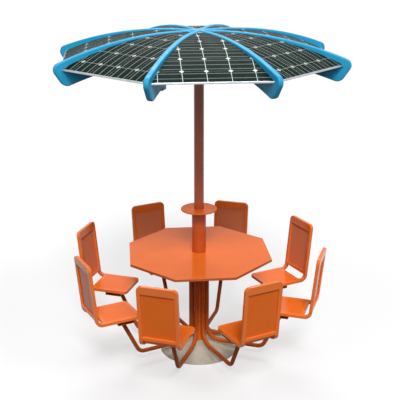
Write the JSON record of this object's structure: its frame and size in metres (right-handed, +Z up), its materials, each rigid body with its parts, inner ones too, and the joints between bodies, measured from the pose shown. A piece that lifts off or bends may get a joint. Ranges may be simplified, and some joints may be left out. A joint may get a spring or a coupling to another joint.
{
  "type": "solar umbrella table with attached chairs",
  "caption": "Octagonal table on a plinth with cantilevered chairs all round, a charging tray on its column and a solar panel canopy on a mast.",
  "frame": {"origin": "on the ground, under the mast, at the centre of the plinth's underside", "axes": "+Z up along the mast, the service door faces +Y, and a rib, a chair and a table corner lie at 22.5 degrees from +X and every 45 degrees on"},
  "size_m": [1.9254, 1.9254, 2.385],
  "materials": {
    "orange_steel": "glossy powder coat on steel",
    "orange_aluminium": "glossy powder coat on aluminium rails",
    "orange_laminate": "glossy compact laminate",
    "blue_aluminium": "glossy powder coat on aluminium sheet",
    "solar_laminate": "glossy laminate over dark cells, in a pale aluminium edge",
    "concrete": "smooth cast concrete",
    "dark_plastic": "satin moulded plastic",
    "battery_sleeve": "shrink sleeve over cells",
    "controller_case": "cast and ribbed"
  },
  "bodies": {
    "stand": {"base_plinth": "concrete", "lower_post": "orange_steel", "table_bracket": "orange_steel", "table_top": "orange_laminate", "column_housing": "orange_steel", "battery_pack": "battery_sleeve", "charge_controller": "controller_case", "outlet_ring": "dark_plastic", "tray": "orange_steel", "mast": "orange_steel", "canopy_hub": "blue_aluminium", "support_tube_1": "orange_steel", "seat_frame_1": "orange_aluminium", "seat_plate_1": "orange_steel", "back_panel_1": "orange_steel", "rib_1": "blue_aluminium", "pv_panel_1": "solar_laminate", "support_tube_2": "orange_steel", "seat_frame_2": "orange_aluminium", "seat_plate_2": "orange_steel", "back_panel_2": "orange_steel", "rib_2": "blue_aluminium", "pv_panel_2": "solar_laminate", "support_tube_3": "orange_steel", "seat_frame_3": "orange_aluminium", "seat_plate_3": "orange_steel", "back_panel_3": "orange_steel", "rib_3": "blue_aluminium", "pv_panel_3": "solar_laminate", "support_tube_4": "orange_steel", "seat_frame_4": "orange_aluminium", "seat_plate_4": "orange_steel", "back_panel_4": "orange_steel", "rib_4": "blue_aluminium", "pv_panel_4": "solar_laminate", "support_tube_5": "orange_steel", "seat_frame_5": "orange_aluminium", "seat_plate_5": "orange_steel", "back_panel_5": "orange_steel", "rib_5": "blue_aluminium", "pv_panel_5": "solar_laminate", "support_tube_6": "orange_steel", "seat_frame_6": "orange_aluminium", "seat_plate_6": "orange_steel", "back_panel_6": "orange_steel", "rib_6": "blue_aluminium", "pv_panel_6": "solar_laminate", "support_tube_7": "orange_steel", "seat_frame_7": "orange_aluminium", "seat_plate_7": "orange_steel", "back_panel_7": "orange_steel", "rib_7": "blue_aluminium", "pv_panel_7": "solar_laminate", "support_tube_8": "orange_steel", "seat_frame_8": "orange_aluminium", "seat_plate_8": "orange_steel", "back_panel_8": "orange_steel", "rib_8": "blue_aluminium", "pv_panel_8": "solar_laminate"},
    "door": {"service_door": "orange_steel"}
  },
  "joints": [
    {"name": "service_door_hinge", "type": "hinge", "parent": "stand", "child": "door", "pos_m": [-0.03594, 0.0436, 0.9], "axis": [0, 0, 1], "range_deg": [0, 120]}
  ]
}
